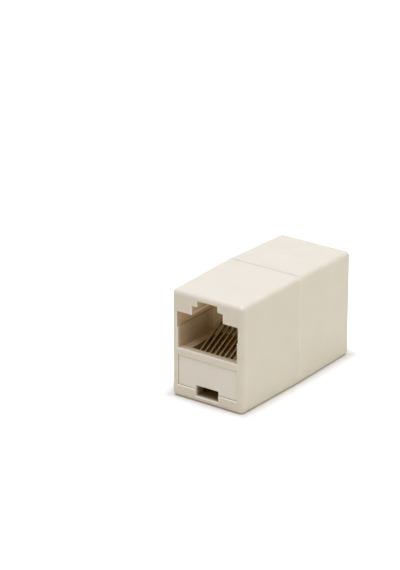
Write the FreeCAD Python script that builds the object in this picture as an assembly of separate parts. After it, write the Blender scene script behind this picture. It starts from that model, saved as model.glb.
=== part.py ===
import FreeCAD, Part
import math
import os

# RJ45 inline coupler: two drafted half shells meet at a seam, and each holds a moulded insert
# with eight spring contacts. Eight insulated leads join the two inserts pin to pin.
# Millimetres. X runs across the coupler, Y along it, Z up. The origin is the middle of the base.
# Each half is drawn in its own frame: its jack face lies at y = 0 and y grows inwards.

V = FreeCAD.Vector

# --- Case walls and outline -------------------------------------------------------------------
side_wall = 0.65            # side wall beside the insert, at the jack face
floor_rim = 0.03            # flat left between the floor's rounded edge and the release slot's chamfer
top_wall = 1.1              # above the latch slot, at the jack face
end_wall = 1.4              # front wall, which the plug and latch openings pass through
side_taper = 0.3            # how far each side leans out from the jack face to the seam
top_taper = 0.3             # how far the top rises from the jack face to the seam
edge_radius = 0.95          # long edges and the rim of each jack face
seam_edge_chamfer = 0.12
seam_gap = 0.06             # open groove between the two outer rims
seam_shift = 0.2            # seam's distance from the middle, towards the rear jack

# --- Openings in the jack face, stacked from the floor up --------------------------------------
panel_sill = 1.2            # rim between the floor and the insert's window
panel_window_height = 5.6
bar_height = 1.3            # bar between the insert's window and the plug opening
plug_height = 6.7
plug_width = 12.4
latch_step_height = 1.7
latch_step_width = 6.45
latch_slot_height = 1.1
latch_slot_width = 4.2
release_slot_height = 2.0
release_slot_width = 4.65
window_edge_chamfer = 0.12

# --- Insert ------------------------------------------------------------------------------------
cheek_wall = 0.6            # side cheeks, flush with the plug opening
cheek_rise = 4.05           # cheeks above the shelves
guide_relief = 0.15         # the case's sides stand this far back above the insert's cheeks
fit_clearance = 0.05        # moulding to moulding
panel_gap = 0.06            # visible line round the panel
panel_recess = 0.2
panel_edge_chamfer = 0.08
shelf_drop = 0.25           # shelves below the bar's top
trough_depth = 1.85         # contact trough below the shelves
trough_width = 9.1
plug_depth = 10.4           # jack face to the plug stop
stop_wall = 1.2
comb_skin = 0.3             # wall left behind the comb slots
insert_end = 12.8           # jack face to the insert's rear face
insert_core_wall = 0.9      # walls round the hollow under the contacts
insert_core_roof = 1.0
insert_chamfer = 0.5
nib_height = 0.6
nib_length = 1.1
nib_width = 1.5
nib_offset = 4.6            # each snap nib's distance from the middle plane
ledge_core_wall = 1.0

# --- Contacts ----------------------------------------------------------------------------------
contact_count = 8
contact_pitch = 1.016
wire_width = 0.34
wire_thickness = 0.3
wire_clearance = 0.05
tail_cover = 0.15           # depth of the tails below the trough's floor
bend_radius = 0.55          # centre line of the turn at the jack's mouth
bend_inset = 1.2            # end wall's inner face to the centre of that turn
contact_angle = 28.0        # rise of the sprung arm towards the plug stop
contact_reach = 0.75        # sprung arm past the plug stop, into its comb slot
tail_reach = 0.8            # contact tail past the insert's rear face

# --- Leads -------------------------------------------------------------------------------------
lead_room = 7.2             # between the two inserts
lead_diameter = 0.65
lead_first_rise = 0.6       # height of the two inner leads above and below the tails as they cross
lead_step_rise = 1.1        # further height of each next lead
lead_stub = 1.2             # straight run that takes the contact tail
lead_end_gap = 0.1          # lead's end to the insert's rear face
lead_bore_clearance = 0.02

# --- Lap joint at the seam ---------------------------------------------------------------------
lap_wall = 0.42
lap_length = 1.2
lap_clearance = 0.05
lap_corner_radius = 0.8

# --- Worked-out places -------------------------------------------------------------------------
floor_wall = edge_radius + window_edge_chamfer + floor_rim
window_floor = floor_wall + panel_sill
window_top = window_floor + panel_window_height
plug_floor = window_top + bar_height
plug_top = plug_floor + plug_height
latch_step_top = plug_top + latch_step_height
latch_slot_top = latch_step_top + latch_slot_height
end_height = latch_slot_top + top_wall
release_slot_top = floor_wall + release_slot_height

insert_width = plug_width + 2 * cheek_wall
pocket_width = insert_width + 2 * fit_clearance
end_width = pocket_width + 2 * side_wall
guide_width = plug_width + 2 * guide_relief
shelf_top = plug_floor - shelf_drop
cheek_top = shelf_top + cheek_rise
trough_floor = shelf_top - trough_depth

groove_width = wire_width + 2 * wire_clearance
groove_height = wire_thickness + 2 * wire_clearance
tail_height = trough_floor - tail_cover - wire_thickness / 2
groove_floor = tail_height - groove_height / 2
core_roof = groove_floor - insert_core_roof
bend_centre_y = end_wall + bend_inset
bend_centre_z = tail_height + bend_radius

case_length = 2 * insert_end + lead_room
front_half_length = case_length / 2 + seam_shift
rear_half_length = case_length / 2 - seam_shift - seam_gap
MARGIN = 1.0                # how far a cutting tool stands out of what it cuts
TOLERANCE = 1e-4            # for picking edges by their place


def box(x0, x1, y0, y1, z0, z1):
    """A block between two opposite corners."""
    return Part.makeBox(x1 - x0, y1 - y0, z1 - z0, V(x0, y0, z0))


def centred_box(width, y0, y1, z0, z1):
    """A block that spans a width about the middle plane."""
    return box(-width / 2, width / 2, y0, y1, z0, z1)


def both_sides(shape):
    """A shape and its mirror image across the middle plane."""
    return shape.fuse(shape.mirror(V(0, 0, 0), V(1, 0, 0)))


def rounded_block(width, y0, y1, z0, z1, radius):
    """A block along Y whose four long edges are rounded."""
    block = centred_box(width, y0, y1, z0, z1)
    return block.makeFillet(radius, edges_along_y(block))


def edges_along_y(shape):
    """Edges that run from one end of a shape to the other."""
    span = shape.BoundBox.YLength
    return [edge for edge in shape.Edges if edge.BoundBox.YLength > span - TOLERANCE]


def edges_in_plane_y(shape, y):
    """Edges that lie in one plane across Y."""
    found = []
    for edge in shape.Edges:
        bounds = edge.BoundBox
        if abs(bounds.YMin - y) < TOLERANCE and abs(bounds.YMax - y) < TOLERANCE:
            found.append(edge)
    return found


def outer_block(length):
    """Drafted half block: flat base, sides and top leaning outwards to the seam, edges rounded."""
    end_side = end_width / 2
    seam_side = end_side + side_taper
    seam_height = end_height + top_taper
    block = Part.makeWedge(-end_side, 0, 0, 0, -seam_side,
                           end_side, length, end_height, seam_height, seam_side)
    block = block.makeFillet(edge_radius, edges_along_y(block) + edges_in_plane_y(block, 0))
    return block.makeChamfer(seam_edge_chamfer, edges_in_plane_y(block, length))


def plug_opening(y0, y1):
    """The stepped outline that takes the plug and its latch, as a prism along Y."""
    plug, guide, step, slot = plug_width / 2, guide_width / 2, latch_step_width / 2, latch_slot_width / 2
    right = [(plug, plug_floor), (plug, cheek_top), (guide, cheek_top), (guide, plug_top),
             (step, plug_top), (step, latch_step_top), (slot, latch_step_top), (slot, latch_slot_top)]
    left = [(-x, z) for x, z in reversed(right)]
    corners = [V(x, y0, z) for x, z in right + left + right[:1]]
    return Part.Face(Part.makePolygon(corners)).extrude(V(0, y1 - y0, 0))


def case_openings():
    """Everything that passes through the jack face: plug opening, panel window, release slot."""
    panel_window = centred_box(plug_width, -MARGIN, end_wall, window_floor, window_top)
    release_slot = centred_box(release_slot_width, -MARGIN, end_wall, floor_wall, release_slot_top)
    return plug_opening(-MARGIN, end_wall).multiFuse([panel_window, release_slot])


def case_cavity(length):
    """The hollow behind the jack face, drawn open at the seam so that the insert slides in."""
    room_start = insert_end + fit_clearance
    insert_pocket = centred_box(pocket_width, end_wall, length, floor_wall, cheek_top + fit_clearance)
    plug_guide = centred_box(guide_width, end_wall, length, plug_floor, plug_top)
    latch_channel = centred_box(latch_step_width, end_wall, length, plug_floor, latch_slot_top)
    core_x = latch_step_width / 2 + ledge_core_wall
    ledge_core = both_sides(box(core_x, guide_width / 2, end_wall + ledge_core_wall, length,
                                plug_top + ledge_core_wall, latch_slot_top))
    room = rounded_block(pocket_width, room_start, length + MARGIN, floor_wall, latch_slot_top,
                         lap_corner_radius - lap_wall)
    return insert_pocket.multiFuse([plug_guide, latch_channel, ledge_core, room])


def snap_nibs():
    """Two ramped nibs on the floor that catch behind the insert."""
    y0 = insert_end + fit_clearance
    z0 = floor_wall - fit_clearance
    corners = [V(0, y0, z0), V(0, y0, floor_wall + nib_height), V(0, y0 + nib_length, z0), V(0, y0, z0)]
    nib = Part.Face(Part.makePolygon(corners)).extrude(V(nib_width, 0, 0))
    nib.translate(V(nib_offset - nib_width / 2, 0, 0))
    return both_sides(nib)


def lap_ring(y0, y1, growth):
    """The tongue's outline as a solid bar along Y, grown all round by a clearance."""
    reach = lap_wall + growth
    return rounded_block(pocket_width + 2 * reach, y0, y1, floor_wall - reach, latch_slot_top + reach,
                         lap_corner_radius)


def lap_bore(y0, y1):
    """The clear way through the tongue."""
    return rounded_block(pocket_width, y0, y1, floor_wall, latch_slot_top, lap_corner_radius - lap_wall)


def half_shell(length):
    """One half of the case, without its part of the lap joint."""
    shell = outer_block(length).cut(case_openings())
    rims = [edge for edge in edges_in_plane_y(shell, 0) if inside_jack_face(edge)]
    shell = shell.makeChamfer(window_edge_chamfer, rims)
    return shell.cut(case_cavity(length)).fuse(snap_nibs())


def inside_jack_face(edge):
    """Whether an edge belongs to an opening and not to the rim of the jack face."""
    centre = edge.BoundBox.Center
    across = end_width / 2 - edge_radius - abs(centre.x)
    upward = min(centre.z, end_height - centre.z) - edge_radius
    return across > TOLERANCE and upward > TOLERANCE


def front_shell():
    """Front half: its rim is recessed to take the rear half's tongue."""
    recess_start = front_half_length - lap_length
    recess = lap_ring(recess_start, front_half_length + MARGIN, lap_clearance)
    return half_shell(front_half_length).cut(recess)


def rear_shell():
    """Rear half: a tongue stands out of its rim."""
    tongue_root = rear_half_length - lap_length
    tongue_tip = rear_half_length + seam_gap + lap_length
    tongue = lap_ring(tongue_root, tongue_tip, 0).cut(lap_bore(tongue_root - MARGIN, tongue_tip + MARGIN))
    return half_shell(rear_half_length).fuse(tongue)


def contact_x(number):
    """Place of a contact across its jack; contact 1 lies at +X, seen with the latch up."""
    return ((contact_count + 1) / 2 - number) * contact_pitch


def insert_block():
    """Solid outline of the insert: panel, block, cheeks and plug stop."""
    block = centred_box(insert_width, end_wall, insert_end, floor_wall, shelf_top)
    chamfered = [edge for edge in edges_along_y(block) if edge.BoundBox.ZMax < floor_wall + TOLERANCE]
    block = block.makeChamfer(insert_chamfer, chamfered)
    cheeks = both_sides(box(plug_width / 2, insert_width / 2, end_wall, insert_end, shelf_top, cheek_top))
    stop_end = plug_depth + stop_wall
    low_stop = centred_box(plug_width, plug_depth, stop_end, shelf_top, cheek_top)
    high_stop = centred_box(guide_width - 2 * fit_clearance, plug_depth, stop_end, cheek_top,
                            plug_top - fit_clearance)
    panel = centred_box(plug_width - 2 * panel_gap, panel_recess, end_wall, window_floor + panel_gap,
                        window_top - panel_gap)
    panel = panel.makeChamfer(panel_edge_chamfer, edges_in_plane_y(panel, panel_recess))
    return block.multiFuse([cheeks, low_stop, high_stop, panel])


def insert_hollows():
    """What is cored out of the insert: contact trough, release slot and the hollow behind it."""
    trough = centred_box(trough_width, end_wall, plug_depth, trough_floor, shelf_top)
    core_start = end_wall + insert_core_wall
    release_slot = centred_box(release_slot_width, 0, core_start, floor_wall, release_slot_top)
    core_width = insert_width - 2 * insert_core_wall
    core = centred_box(core_width, core_start, insert_end - insert_core_wall, floor_wall, core_roof)
    return trough.multiFuse([release_slot, core])


def contact_seat(number):
    """Groove, tail tunnel and comb slot of one contact, as one cutting shape."""
    x = contact_x(number)
    x0, x1 = x - groove_width / 2, x + groove_width / 2
    groove = box(x0, x1, end_wall, plug_depth, groove_floor, trough_floor)
    tunnel = box(x0, x1, plug_depth, insert_end, groove_floor, groove_floor + groove_height)
    slot_end = plug_depth + stop_wall - comb_skin
    slot_top = arm_end()[1] + wire_thickness / 2 + wire_clearance
    comb_slot = box(x0, x1, plug_depth, slot_end, shelf_top, slot_top)
    return groove.multiFuse([tunnel, comb_slot])


def insert():
    """Contact carrier of one jack, moulded in one piece."""
    body = insert_block().cut(insert_hollows())
    seats = [contact_seat(number) for number in range(1, contact_count + 1)]
    return body.cut(seats[0].multiFuse(seats[1:]))


def arm_start():
    """Where the turn ends and the sprung arm begins, in the half's Y and Z."""
    angle = math.radians(contact_angle)
    return (bend_centre_y - bend_radius * math.sin(angle), bend_centre_z + bend_radius * math.cos(angle))


def arm_end():
    """Tip of the sprung arm, inside its comb slot."""
    y0, z0 = arm_start()
    y1 = plug_depth + contact_reach
    return y1, z0 + (y1 - y0) * math.tan(math.radians(contact_angle))


def contact_profile():
    """Side view of a contact: tail, tight turn at the jack's mouth, arm rising to the plug stop."""
    centre = V(0, bend_centre_y, bend_centre_z)
    tip = V(0, *arm_end())
    turn_start = -math.pi / 2
    turn_end = math.radians(contact_angle) - 3 * math.pi / 2
    turn_angles = (turn_start, (turn_start + turn_end) / 2, turn_end)
    edges = []
    tail_ends = []
    arm_tips = []
    for offset in (wire_thickness / 2, -wire_thickness / 2):
        turn = [centre + outward(angle) * (bend_radius + offset) for angle in turn_angles]
        tail_ends.append(V(0, insert_end + tail_reach, turn[0].z))
        arm_tips.append(tip + outward(turn_end) * offset)
        edges.append(Part.makeLine(tail_ends[-1], turn[0]))
        edges.append(Part.Arc(*turn).toShape())
        edges.append(Part.makeLine(turn[-1], arm_tips[-1]))
    edges.append(Part.makeLine(*tail_ends))
    edges.append(Part.makeLine(*arm_tips))
    return Part.Face(Part.Wire(Part.__sortEdges__(edges)))


def outward(angle):
    """Unit vector in the side view, turned up from the +Y direction."""
    return V(0, math.cos(angle), math.sin(angle))


def contact(number):
    """One spring contact, cut from strip of even width."""
    strip = contact_profile().extrude(V(wire_width, 0, 0))
    return strip.translated(V(contact_x(number) - wire_width / 2, 0, 0))


def lead_route(number):
    """Corner points of a lead: out of one insert, past the others at the middle, into the next."""
    x = contact_x(number)
    rank = round(abs(x) / contact_pitch - 0.5)
    level = tail_height + math.copysign(lead_first_rise + rank * lead_step_rise, x)
    end_y = lead_room / 2 - lead_end_gap
    turn_y = end_y - lead_stub
    return [V(x, -end_y, tail_height), V(x, -turn_y, tail_height), V(0, 0, level),
            V(-x, turn_y, tail_height), V(-x, end_y, tail_height)]


def tail_bore(end, direction):
    """The bore that takes a contact's tail, from a lead's end inwards."""
    width = wire_width + 2 * lead_bore_clearance
    height = wire_thickness + 2 * lead_bore_clearance
    bore = centred_box(width, 0, tail_reach, -height / 2, height / 2)
    if direction < 0:
        bore = bore.mirror(V(0, 0, 0), V(0, 1, 0))
    return bore.translated(end)


def lead(number):
    """One insulated lead: it crosses to the other side of the rear jack, so pin meets pin."""
    route = lead_route(number)
    section = Part.Wire([Part.makeCircle(lead_diameter / 2, route[0], V(0, 1, 0))])
    bar = Part.makePolygon(route).makePipeShell([section], True, True, 1)
    return bar.cut(tail_bore(route[0], 1).fuse(tail_bore(route[-1], -1)))


def to_front(shape):
    """Put a piece drawn in a half's own frame into the front half."""
    return shape.translated(V(0, -case_length / 2, 0))


def to_rear(shape):
    """Put a piece drawn in a half's own frame into the rear half, turned end for end."""
    turned = shape.rotated(V(0, 0, 0), V(0, 0, 1), 180)
    return turned.translated(V(0, case_length / 2, 0))


def pieces():
    """Every piece of the coupler in place, by name."""
    made = {
        "front_shell": to_front(front_shell()),
        "rear_shell": to_rear(rear_shell()),
        "front_insert": to_front(insert()),
        "rear_insert": to_rear(insert()),
    }
    for number in range(1, contact_count + 1):
        made["front_contact_%d" % number] = to_front(contact(number))
        made["rear_contact_%d" % number] = to_rear(contact(number))
        made["lead_%d" % number] = lead(number)
    return made


os.makedirs("parts", exist_ok=True)
for name, shape in pieces().items():
    shape.removeSplitter().exportStep("parts/%s.step" % name)
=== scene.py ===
import math
from collections import namedtuple

import bpy
from mathutils import Matrix, Vector


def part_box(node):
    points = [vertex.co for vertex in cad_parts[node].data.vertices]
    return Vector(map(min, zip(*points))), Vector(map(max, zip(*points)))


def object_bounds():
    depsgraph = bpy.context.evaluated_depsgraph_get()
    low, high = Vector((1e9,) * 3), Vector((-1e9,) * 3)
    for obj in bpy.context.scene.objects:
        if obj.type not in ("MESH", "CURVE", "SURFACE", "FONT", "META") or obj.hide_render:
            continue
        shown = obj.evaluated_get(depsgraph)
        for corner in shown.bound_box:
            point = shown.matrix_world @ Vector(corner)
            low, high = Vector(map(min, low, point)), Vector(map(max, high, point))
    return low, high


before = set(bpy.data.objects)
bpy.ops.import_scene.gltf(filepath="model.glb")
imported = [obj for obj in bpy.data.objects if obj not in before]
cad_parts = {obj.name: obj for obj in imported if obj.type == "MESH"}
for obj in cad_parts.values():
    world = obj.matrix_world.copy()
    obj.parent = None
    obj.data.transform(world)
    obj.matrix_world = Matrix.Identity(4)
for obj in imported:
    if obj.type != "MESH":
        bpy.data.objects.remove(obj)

# An RJ45 inline coupler on a white table. Metres, in the frame of the CAD model:
# X across the coupler, Y from the front jack to the rear jack, Z up, table at z = 0.

MM = 0.001

# --- Camera -----------------------------------------------------------------------------------
VIEW_AZIMUTH = 36.4         # degrees round from the front jack towards the right-hand side
VIEW_ELEVATION = 22.1
CAMERA_DISTANCE = 453.0 * MM
LENS_MM = 164.3
SENSOR_MM = 36.0
AIM_HEIGHT = 9.9 * MM       # on the coupler's upright middle line
AIM_LEFT = 10.86 * MM       # the coupler stands right of the view's middle
AIM_ABOVE = 6.42 * MM       # and below it
NEAREST_SEEN = 10 * MM
FARTHEST_SEEN = 20.0

# --- Light ------------------------------------------------------------------------------------
ROOM_LIGHT = 0.28
ROOM_TINT = (1.0, 0.86, 0.54)
PURE_WHITE = (1.0, 1.0, 1.0)
SOFTBOXES = {
    # name: (azimuth, elevation, distance, size, watts per square metre of panel, colour)
    "overhead_softbox": (20, 82, 0.45, 0.50, 8.5, (1.0, 1.07, 1.36)),
    "right_softbox": (100, 25, 0.50, 0.35, 2.4, (1.0, 1.12, 1.06)),
}
FLOOR_SIZE = 4.0
TABLE_GLOW = 0.07           # added to the table's own paint beside the coupler, where it is seen
TABLE_GLOW_REACH = 7 * MM   # distance from the coupler over which the table turns pure white

# --- Places on the coupler --------------------------------------------------------------------
cad_low, cad_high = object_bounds()
insert_low, insert_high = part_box("front_insert")
_shell_low, shell_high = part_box("front_shell")

SIDE_MARGIN = 0.15 * MM                     # past the insert, into the side walls beside it
FLOOR_MARGIN = 0.05 * MM                    # below the insert, into the floor that it stands on
SEAM_MARGIN = 0.025 * MM                    # front half's rim to about the middle of the open groove
INNER_HALF_WIDTH = insert_high.x + SIDE_MARGIN
INNER_FLOOR = insert_low.z - FLOOR_MARGIN   # the inside ends here, and as far below the top
SEAM_PLACE = shell_high.y + SEAM_MARGIN
SEAM_REACH = 0.25 * MM                      # half the width of the groove with its edges
INNER_FADE = (0.25 * MM, 0.95 * MM)         # depths over which the painted inside shade comes in
TROUGH_FADE = (1.6 * MM, 3.4 * MM)          # depths over which the trough's painted dark shade comes in
STOP_FADE = (8.5 * MM, 10.2 * MM)           # depths over which the plug stop's painted lighter tone comes in
RELEASE_SLOT_TOP = 3.2 * MM                 # just above the slot, so that its roof gets the painted shade too
TROUGH_RIM = 8.9 * MM                       # shelves beside the contact trough
CHEEK_TOP = 13.03 * MM                      # the case's own guide walls stand above the cheeks
LATCH_STEP = (3.1 * MM, 3.4 * MM)           # where the highlight is painted along the ledges, across
LATCH_HIGHLIGHT_HEIGHT = (15.85 * MM, 16.3 * MM)         # and in height
WINDOW_HALF_WIDTH = 6.5 * MM                # openings of the jack face, with their chamfers
WINDOW_FLOOR = 0.96 * MM                    # lowest chamfer, and as far below the top
WINDOW_EDGE_DEPTH = 0.3 * MM
CHAMFER_FACING = (0.6, 0.8)                 # share of a chamfer's direction that points out of the face

# --- Colours ----------------------------------------------------------------------------------
CASE_IVORY = (0.76, 0.695, 0.56)
INSERT_IVORY = (0.83, 0.77, 0.65)
SHADED_INNER_IVORY = (0.64, 0.52, 0.35)            # warmer and darker inside: painted shade
SHADED_GUIDE_IVORY = (0.84, 0.65, 0.42)            # painted warm shade on the thin walls above the insert's cheeks
# painted light on the plug stop, lighter than the painted shade round it
LIT_STOP_IVORY = (0.88, 0.74, 0.53)
SHADED_SLOT_IVORY = (0.38, 0.28, 0.14)             # painted shade on the floor and walls of the release slot
SHADED_TROUGH_IVORY = (0.38, 0.24, 0.06)             # painted shade in the trough under the contacts
# painted highlight on the chamfers round the openings
EDGE_HIGHLIGHT_IVORY = (0.97, 0.89, 0.75)
# painted highlight along the lower corner of each ledge
LATCH_HIGHLIGHT_IVORY = (1.0, 0.90, 0.70)
# painted highlight down the seam's sides, over the shade of its groove
SEAM_SIDE_HIGHLIGHT = (0.86, 0.79, 0.66)
# painted shade along the top of the seam
SEAM_TOP_SHADE = (0.68, 0.62, 0.51)
CONTACT_GILT = (0.64, 0.56, 0.41)
# bare bronze of the sheared sides, darkened by painted shade
SHADED_SHEARED_BRONZE = (0.14, 0.09, 0.045)
TABLE_WHITE = (0.81, 0.785, 0.72)           # warm, so that the cool overhead light leaves it neutral
LEAD_COLOURS = {
    1: ("blue_insulation", (0.03, 0.10, 0.42)),
    2: ("orange_insulation", (0.80, 0.26, 0.03)),
    3: ("black_insulation", (0.02, 0.02, 0.02)),
    4: ("red_insulation", (0.58, 0.03, 0.02)),
    5: ("green_insulation", (0.02, 0.26, 0.07)),
    6: ("yellow_insulation", (0.82, 0.62, 0.03)),
    7: ("brown_insulation", (0.18, 0.08, 0.03)),
    8: ("white_insulation", (0.80, 0.80, 0.77)),
}

# --- Finishes ---------------------------------------------------------------------------------
CASE_ROUGHNESS = 0.38
INSERT_ROUGHNESS = 0.42
SATIN_SPREAD = 0.05             # how far the gloss wanders over a moulding
EDGE_POLISH = 0.1               # how much smoother a rubbed corner is
CORNER_TURN = (0.05, 0.25)      # turn of the surface over which a corner counts as rubbed
MOTTLE = 0.015                  # clouding of the ivory, either way
STREAKING = 0.05                # and of its inside
GLOW_SHARE = 0.25               # light that spreads inside the plastic before it leaves
GLOW_DEPTH = (1.0 * MM, 0.55 * MM, 0.28 * MM)   # how far red, green and blue light spread
GLOW_SCALE = 1.0
PLATING_WEAR = 0.07
PLATING_GLOSS = (0.30, 0.42)
WIRE_ROUNDING = 0.14 * MM       # rolled corners of the contact strip
BROADSIDE = 0.6                 # share of a direction past which a surface counts as facing that way
CLOUD_STOPS = (0.3, 0.7)        # part of the noise over which two tones blend

# --- Patterns: sizes of their features, how they are drawn out along X, Y and Z, and relief -----
FINE_DETAIL = 2.0
USUAL_DETAIL = 3.0
RICH_DETAIL = 4.0
UNSTRETCHED = (1, 1, 1)
STREAK_SIZE = 1.2 * MM
STREAK_STRETCH = (1, 0.3, 1)
MOTTLE_SIZE = 4 * MM
SATIN_SIZE = 2.5 * MM
GRAIN_SIZE = 0.12 * MM
GRAIN_DEPTH = 0.002 * MM
GRAIN_STRENGTH = 0.5
PLATING_SIZE = 1.5 * MM
PLATING_STRETCH = (1, 0.3, 0.6)
DRAWN_LINE_SIZE = 0.04 * MM
DRAWN_LINE_STRETCH = (1, 0.05, 0.1)
DRAWN_LINE_DEPTH = 0.001 * MM
DRAWN_LINE_STRENGTH = 0.3
WAVE_SIZE = 0.8 * MM
WAVE_DEPTH = 0.006 * MM
WAVE_STRENGTH = 0.6
WAVE_DARKER = 0.08
WAVE_LIGHTER = 0.06
INSULATION_GLOSS = (0.38, 0.5)
TABLE_GRAIN_SIZE = 3 * MM
TABLE_GRAIN = 0.01


def direction(azimuth, elevation):
    """Unit vector away from the object, at an angle round it and an angle above the table."""
    round_z = math.radians(azimuth)
    up = math.radians(elevation)
    return Vector((math.sin(round_z) * math.cos(up), -math.cos(round_z) * math.cos(up), math.sin(up)))


def shade(colour, factor):
    """A colour made darker or lighter, up to full strength."""
    return tuple(min(channel * factor, 1.0) for channel in colour)


# --- Node recipes -----------------------------------------------------------------------------
class Recipe:
    """The node tree of a material or world, with short calls to add and join its nodes."""

    def __init__(self, owner, output_kind):
        owner.use_nodes = True
        self.owner = owner
        self.tree = owner.node_tree
        self.tree.nodes.clear()
        self.output = self.tree.nodes.new(output_kind)
        self.object_point = self.add("ShaderNodeTexCoord").outputs["Object"]

    @classmethod
    def of_material(cls, name):
        """The recipe of a new material."""
        return cls(bpy.data.materials.new(name), "ShaderNodeOutputMaterial")

    @classmethod
    def of_world(cls, name):
        """The recipe of a new world."""
        return cls(bpy.data.worlds.new(name), "ShaderNodeOutputWorld")

    def add(self, kind, **settings):
        """A new node, with its plain properties set."""
        node = self.tree.nodes.new(kind)
        for key, value in settings.items():
            setattr(node, key, value)
        return node

    def join(self, source, target):
        """Feed one socket from another."""
        self.tree.links.new(source, target)

    def feed(self, socket, value):
        """Give a socket a link, a colour or a number."""
        if isinstance(value, bpy.types.NodeSocket):
            self.join(value, socket)
        elif socket.type == "RGBA":
            socket.default_value = (*value, 1.0)
        else:
            socket.default_value = value

    def parts(self, vector):
        """The X, Y and Z of a vector."""
        split = self.add("ShaderNodeSeparateXYZ")
        self.join(vector, split.inputs["Vector"])
        return split.outputs["X"], split.outputs["Y"], split.outputs["Z"]

    def math(self, operation, *values):
        """One arithmetic step on numbers or sockets."""
        node = self.add("ShaderNodeMath", operation=operation)
        for socket, value in zip(node.inputs, values):
            self.feed(socket, value)
        return node.outputs["Value"]

    def size_of(self, value):
        """A value without its sign."""
        return self.math("ABSOLUTE", value)

    def above(self, value, limit):
        """1 where a value is over a limit."""
        return self.math("GREATER_THAN", value, limit)

    def below(self, value, limit):
        """1 where a value is under a limit."""
        return self.math("LESS_THAN", value, limit)

    def between(self, value, low, high):
        """1 where a value lies between two limits."""
        return self.all_of(self.above(value, low), self.below(value, high))

    def all_of(self, *masks):
        """1 where every mask is 1."""
        product = masks[0]
        for mask in masks[1:]:
            product = self.math("MULTIPLY", product, mask)
        return product

    def largest(self, *values):
        """The largest of several values."""
        most = values[0]
        for value in values[1:]:
            most = self.math("MAXIMUM", most, value)
        return most

    def rise(self, value, low, high):
        """0 below a low value, 1 above a high one, and smooth between them."""
        node = self.add("ShaderNodeMapRange", interpolation_type="SMOOTHSTEP")
        self.join(value, node.inputs["Value"])
        node.inputs["From Min"].default_value = low
        node.inputs["From Max"].default_value = high
        return node.outputs["Result"]

    def span(self, factor, low, high):
        """A factor from 0 to 1 spread over a range."""
        node = self.add("ShaderNodeMapRange")
        node.inputs["To Min"].default_value = low
        node.inputs["To Max"].default_value = high
        self.join(factor, node.inputs["Value"])
        return node.outputs["Result"]

    def noise(self, size, detail=USUAL_DETAIL, stretch=UNSTRETCHED):
        """Noise from 0 to 1 on object coordinates, with features of about a given size in metres."""
        mapping = self.add("ShaderNodeMapping")
        mapping.inputs["Scale"].default_value = stretch
        self.join(self.object_point, mapping.inputs["Vector"])
        noise = self.add("ShaderNodeTexNoise")
        noise.inputs["Scale"].default_value = 1.0 / size
        noise.inputs["Detail"].default_value = detail
        self.join(mapping.outputs["Vector"], noise.inputs["Vector"])
        return noise.outputs["Fac"]

    def clouded(self, cloud, colour, darker, lighter):
        """A colour that a cloud of noise turns darker in places and lighter in others."""
        node = self.add("ShaderNodeValToRGB")
        ends = node.color_ramp.elements
        for end, place, factor in zip(ends, CLOUD_STOPS, (1 - darker, 1 + lighter)):
            end.position = place
            end.color = (*shade(colour, factor), 1.0)
        self.join(cloud, node.inputs["Fac"])
        return node.outputs["Color"]

    def blend(self, factor, first, second):
        """First colour where the factor is 0, second where it is 1."""
        node = self.add("ShaderNodeMix", data_type="RGBA")
        colours = [socket for socket in node.inputs if socket.type == "RGBA"]
        self.join(factor, node.inputs["Factor"])
        for socket, colour in zip(colours, (first, second)):
            self.feed(socket, colour)
        return next(socket for socket in node.outputs if socket.type == "RGBA")

    def facing(self):
        """How squarely the surface faces along X, Y and Z, either way."""
        geometry = self.add("ShaderNodeNewGeometry")
        return [self.size_of(part) for part in self.parts(geometry.outputs["Normal"])]

    def bump(self, height, depth, strength, after=None):
        """A bump of a given depth in metres."""
        node = self.add("ShaderNodeBump")
        node.inputs["Strength"].default_value = strength
        node.inputs["Distance"].default_value = depth
        self.join(height, node.inputs["Height"])
        if after is not None:
            self.join(after, node.inputs["Normal"])
        return node.outputs["Normal"]

    def surface(self, **values):
        """The main shader: each socket gets its value or link."""
        shader = self.add("ShaderNodeBsdfPrincipled")
        for key, value in values.items():
            self.feed(shader.inputs[key.replace("_", " ")], value)
        self.join(shader.outputs["BSDF"], self.output.inputs["Surface"])


# --- Where a point of the coupler lies ---------------------------------------------------------
Places = namedtuple("Places", "depth across height")


def jack_places(recipe):
    """Depth behind the nearer jack face, distance from the middle plane, and height."""
    across, along, height = recipe.parts(recipe.object_point)
    depth = recipe.math("SUBTRACT", cad_high.y, recipe.size_of(along))
    return Places(depth, recipe.size_of(across), height)


def inside_case(recipe, places):
    """1 on surfaces inside the jack and the case, 0 on the outside."""
    behind_face = recipe.rise(places.depth, *INNER_FADE)
    within_sides = recipe.below(places.across, INNER_HALF_WIDTH)
    within_height = recipe.between(places.height, INNER_FLOOR, cad_high.z - INNER_FLOOR)
    return recipe.all_of(behind_face, within_sides, within_height)


def guide_walls(recipe, places):
    """1 on the case's own walls, above the insert's cheeks."""
    return recipe.above(places.height, CHEEK_TOP)


def latch_highlight_line(recipe, places):
    """1 along the lower corner of each ledge, where a highlight is painted."""
    return recipe.all_of(recipe.between(places.across, *LATCH_STEP),
                         recipe.between(places.height, *LATCH_HIGHLIGHT_HEIGHT))


def plug_stop(recipe, places):
    """1 on the upright stop at the back of the jack."""
    return recipe.all_of(recipe.rise(places.depth, *STOP_FADE), recipe.above(places.height, TROUGH_RIM))


def release_slot(recipe, places):
    """1 on the floor and walls of the release slot and the hollow behind it."""
    return recipe.below(places.height, RELEASE_SLOT_TOP)


def contact_trough(recipe, places):
    """1 in the trough under the contacts."""
    low = recipe.between(places.height, RELEASE_SLOT_TOP, TROUGH_RIM)
    return recipe.all_of(recipe.rise(places.depth, *TROUGH_FADE), low)


def beside_seam(recipe):
    """1 on the edges of the seam between the two halves."""
    _across, along, _height = recipe.parts(recipe.object_point)
    off_seam = recipe.size_of(recipe.math("SUBTRACT", along, SEAM_PLACE))
    return recipe.below(off_seam, SEAM_REACH)


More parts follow.
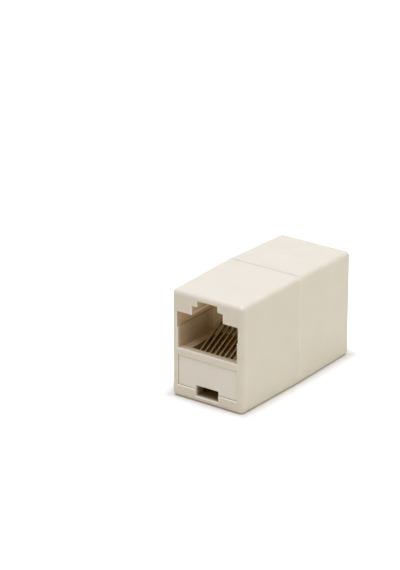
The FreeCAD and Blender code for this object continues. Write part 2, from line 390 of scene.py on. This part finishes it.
def window_edge(recipe, places):
    """1 on the small chamfers round the openings of each jack face."""
    _sideways, outward, _upward = recipe.facing()
    return recipe.all_of(
        recipe.between(outward, *CHAMFER_FACING),
        recipe.below(places.across, WINDOW_HALF_WIDTH),
        recipe.below(places.depth, WINDOW_EDGE_DEPTH),
        recipe.between(places.height, WINDOW_FLOOR, cad_high.z - WINDOW_FLOOR),
    )


def rubbed_corner(recipe):
    """1 where the surface turns a corner and faces squarely along no axis."""
    squarest = recipe.largest(*recipe.facing())
    return recipe.rise(recipe.math("SUBTRACT", 1.0, squarest), *CORNER_TURN)


# --- Finishes ---------------------------------------------------------------------------------
def painted_inside_shade(recipe, places):
    """Painted shade inside the jack: warm, streaky ivory, with a painted tone of its own for each region.
    """
    streaks = recipe.noise(STREAK_SIZE, stretch=STREAK_STRETCH)
    # painted warm shade on the cheeks
    cheeks = recipe.clouded(streaks, SHADED_INNER_IVORY, STREAKING, STREAKING)
    # painted warm shade on the guide walls above the cheeks
    guides = recipe.clouded(streaks, SHADED_GUIDE_IVORY, STREAKING, STREAKING)
    tone = recipe.blend(guide_walls(recipe, places), cheeks, guides)
    # painted highlight along the ledges' lower corners
    tone = recipe.blend(latch_highlight_line(recipe, places), tone, LATCH_HIGHLIGHT_IVORY)
    # painted light on the plug stop
    tone = recipe.blend(plug_stop(recipe, places), tone, LIT_STOP_IVORY)
    # painted shade in the release slot
    tone = recipe.blend(release_slot(recipe, places), tone, SHADED_SLOT_IVORY)
    # painted shade in the contact trough
    return recipe.blend(contact_trough(recipe, places), tone, SHADED_TROUGH_IVORY)


def outside_tone(recipe, colour):
    """Faintly clouded ivory, with painted shade along the top of the seam and a painted highlight down its
    sides.
    """
    cloud = recipe.noise(MOTTLE_SIZE, detail=RICH_DETAIL)
    ivory = recipe.clouded(cloud, colour, MOTTLE, MOTTLE)
    _sideways, _outward, upward = recipe.facing()
    # painted shade on the top of the seam, painted highlight down its sides
    seam = recipe.blend(recipe.above(upward, BROADSIDE), SEAM_SIDE_HIGHLIGHT, SEAM_TOP_SHADE)
    return recipe.blend(beside_seam(recipe), ivory, seam)


def moulded_plastic(name, colour, roughness):
    """Injection-moulded ABS, with painted warm shade inside and painted highlights on the edges of its
    openings.
    """
    recipe = Recipe.of_material(name)
    places = jack_places(recipe)
    # painted warm shade over the inside of the jack and case
    tone = recipe.blend(inside_case(recipe, places), outside_tone(recipe, colour),
                        painted_inside_shade(recipe, places))
    # painted highlight on the chamfers round the openings of each jack face
    tone = recipe.blend(window_edge(recipe, places), tone, EDGE_HIGHLIGHT_IVORY)
    sweep = recipe.noise(SATIN_SIZE)
    satin = recipe.span(sweep, roughness - SATIN_SPREAD, roughness + SATIN_SPREAD)
    polish = recipe.math("MULTIPLY", rubbed_corner(recipe), EDGE_POLISH)
    grain = recipe.noise(GRAIN_SIZE, detail=FINE_DETAIL)
    recipe.surface(
        Base_Color=tone,
        Roughness=recipe.math("SUBTRACT", satin, polish),
        Normal=recipe.bump(grain, GRAIN_DEPTH, GRAIN_STRENGTH),
        Subsurface_Weight=GLOW_SHARE,
        Subsurface_Radius=GLOW_DEPTH,
        Subsurface_Scale=GLOW_SCALE,
    )
    return recipe.owner


def gilt_wire(name):
    """Thin gold plate over drawn bronze strip, a little cloudy, its bare sheared sides darkened well below
    bronze by painted shade.
    """
    recipe = Recipe.of_material(name)
    cloud = recipe.noise(PLATING_SIZE, FINE_DETAIL, PLATING_STRETCH)
    gilt = recipe.clouded(cloud, CONTACT_GILT, PLATING_WEAR, 0.0)
    sideways, _outward, _upward = recipe.facing()
    drawn_lines = recipe.noise(DRAWN_LINE_SIZE, FINE_DETAIL, DRAWN_LINE_STRETCH)
    rolled = recipe.add("ShaderNodeBevel")
    rolled.inputs["Radius"].default_value = WIRE_ROUNDING
    relief = recipe.bump(drawn_lines, DRAWN_LINE_DEPTH, DRAWN_LINE_STRENGTH, rolled.outputs["Normal"])
    # the sides of the strip get painted shade
    recipe.surface(
        Base_Color=recipe.blend(recipe.above(sideways, BROADSIDE), gilt, SHADED_SHEARED_BRONZE),
        Metallic=1.0,
        Roughness=recipe.span(cloud, *PLATING_GLOSS),
        Normal=relief,
    )
    return recipe.owner


def lead_insulation(name, colour):
    """Soft PVC insulation with a slight waviness."""
    recipe = Recipe.of_material(name)
    waves = recipe.noise(WAVE_SIZE)
    recipe.surface(
        Base_Color=recipe.clouded(waves, colour, WAVE_DARKER, WAVE_LIGHTER),
        Roughness=recipe.span(waves, *INSULATION_GLOSS),
        Normal=recipe.bump(waves, WAVE_DEPTH, WAVE_STRENGTH),
    )
    return recipe.owner


def finish_cad_nodes(nodes):
    """Give every CAD node the finish of the real piece."""
    case = moulded_plastic("ivory_case_plastic", CASE_IVORY, CASE_ROUGHNESS)
    carrier = moulded_plastic("ivory_insert_plastic", INSERT_IVORY, INSERT_ROUGHNESS)
    wire = gilt_wire("gilt_spring_wire")
    finishes = {"front_shell": case, "rear_shell": case, "front_insert": carrier, "rear_insert": carrier}
    for number, (name, colour) in LEAD_COLOURS.items():
        finishes["lead_%d" % number] = lead_insulation(name, colour)
        finishes["front_contact_%d" % number] = wire
        finishes["rear_contact_%d" % number] = wire
    for name, finish in finishes.items():
        mesh = nodes[name].data
        mesh.materials.clear()
        mesh.materials.append(finish)


# --- Table, lights and camera -----------------------------------------------------------------
def seen_directly(recipe):
    """1 for what the camera sees straight, in a reflection or through glass, else 0."""
    path = recipe.add("ShaderNodeLightPath")
    rays = [path.outputs[name] for name in ("Is Camera Ray", "Is Glossy Ray", "Is Transmission Ray")]
    return recipe.largest(*rays)


def past(recipe, value, limit):
    """How far a value lies past a limit, on either side of zero, and 0 within it."""
    return recipe.math("MAXIMUM", recipe.math("SUBTRACT", recipe.size_of(value), limit), 0.0)


def beside_coupler(recipe):
    """How far a point of the table lies outside the coupler's footprint."""
    across, along, _height = recipe.parts(recipe.object_point)
    past_side = past(recipe, across, cad_high.x)
    past_end = past(recipe, along, cad_high.y)
    squares = recipe.math("ADD", recipe.math("POWER", past_side, 2.0), recipe.math("POWER", past_end, 2.0))
    return recipe.math("SQRT", squares)


def white_table(name):
    """Matt white table that soon turns pure white away from the coupler, where it is seen."""
    recipe = Recipe.of_material(name)
    paint = recipe.add("ShaderNodeBsdfDiffuse")
    grain = recipe.noise(TABLE_GRAIN_SIZE, detail=FINE_DETAIL)
    recipe.join(recipe.clouded(grain, TABLE_WHITE, TABLE_GRAIN, TABLE_GRAIN), paint.inputs["Color"])
    whiter = recipe.math("DIVIDE", beside_coupler(recipe), TABLE_GLOW_REACH)
    strength = recipe.math("MINIMUM", recipe.math("ADD", whiter, TABLE_GLOW), 1.0)
    glow = recipe.add("ShaderNodeEmission")
    recipe.feed(glow.inputs["Color"], PURE_WHITE)
    recipe.join(recipe.all_of(seen_directly(recipe), strength), glow.inputs["Strength"])
    both = recipe.add("ShaderNodeAddShader")
    recipe.join(paint.outputs["BSDF"], both.inputs[0])
    recipe.join(glow.outputs["Emission"], both.inputs[1])
    recipe.join(both.outputs["Shader"], recipe.output.inputs["Surface"])
    return recipe.owner


def lay_table():
    """The white table that the coupler stands on."""
    half = FLOOR_SIZE / 2
    mesh = bpy.data.meshes.new("table_top")
    corners = [(-half, -half, 0), (half, -half, 0), (half, half, 0), (-half, half, 0)]
    mesh.from_pydata(corners, [], [(0, 1, 2, 3)])
    table = bpy.data.objects.new("table_top", mesh)
    bpy.context.collection.objects.link(table)
    mesh.materials.append(white_table("white_table"))


def hang_softbox(name, azimuth, elevation, distance, size, strength, colour, aim):
    """A square soft light that faces the coupler."""
    light = bpy.data.lights.new(name, "AREA")
    light.shape = "SQUARE"
    light.size = size
    light.energy = strength * size * size
    light.color = colour
    lamp = bpy.data.objects.new(name, light)
    bpy.context.collection.objects.link(lamp)
    outward = direction(azimuth, elevation)
    lamp.location = aim + outward * distance
    lamp.rotation_mode = "QUATERNION"
    lamp.rotation_quaternion = (-outward).to_track_quat("-Z", "Y")


def light_room():
    """Even light from all round, pure white where the camera sees past the table."""
    sky = Recipe.of_world("studio")
    bpy.context.scene.world = sky.owner
    shine = sky.add("ShaderNodeBackground")
    seen = seen_directly(sky)
    sky.join(sky.blend(seen, ROOM_TINT, PURE_WHITE), shine.inputs["Color"])
    sky.join(sky.span(seen, ROOM_LIGHT, 1.0), shine.inputs["Strength"])
    sky.join(shine.outputs["Background"], sky.output.inputs["Surface"])


def set_camera(aim):
    """A long lens, looking down on the front jack and the right-hand side."""
    data = bpy.data.cameras.new("camera")
    data.lens = LENS_MM
    data.sensor_width = SENSOR_MM
    data.clip_start = NEAREST_SEEN
    data.clip_end = FARTHEST_SEEN
    camera = bpy.data.objects.new("camera", data)
    bpy.context.collection.objects.link(camera)
    back = direction(VIEW_AZIMUTH, VIEW_ELEVATION)
    right = Vector((0, 0, 1)).cross(back).normalized()
    up = back.cross(right)
    turn = Matrix((right, up, back)).transposed()
    camera.rotation_mode = "QUATERNION"
    camera.rotation_quaternion = turn.to_quaternion()
    camera.location = aim + back * CAMERA_DISTANCE - right * AIM_LEFT + up * AIM_ABOVE
    bpy.context.scene.camera = camera


# --- The scene --------------------------------------------------------------------------------
finish_cad_nodes(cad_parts)
lay_table()
light_room()
for box_name, setup in SOFTBOXES.items():
    hang_softbox(box_name, *setup, (cad_low + cad_high) / 2)
set_camera(Vector((0, 0, AIM_HEIGHT)))
bpy.context.scene.view_settings.view_transform = "Standard"
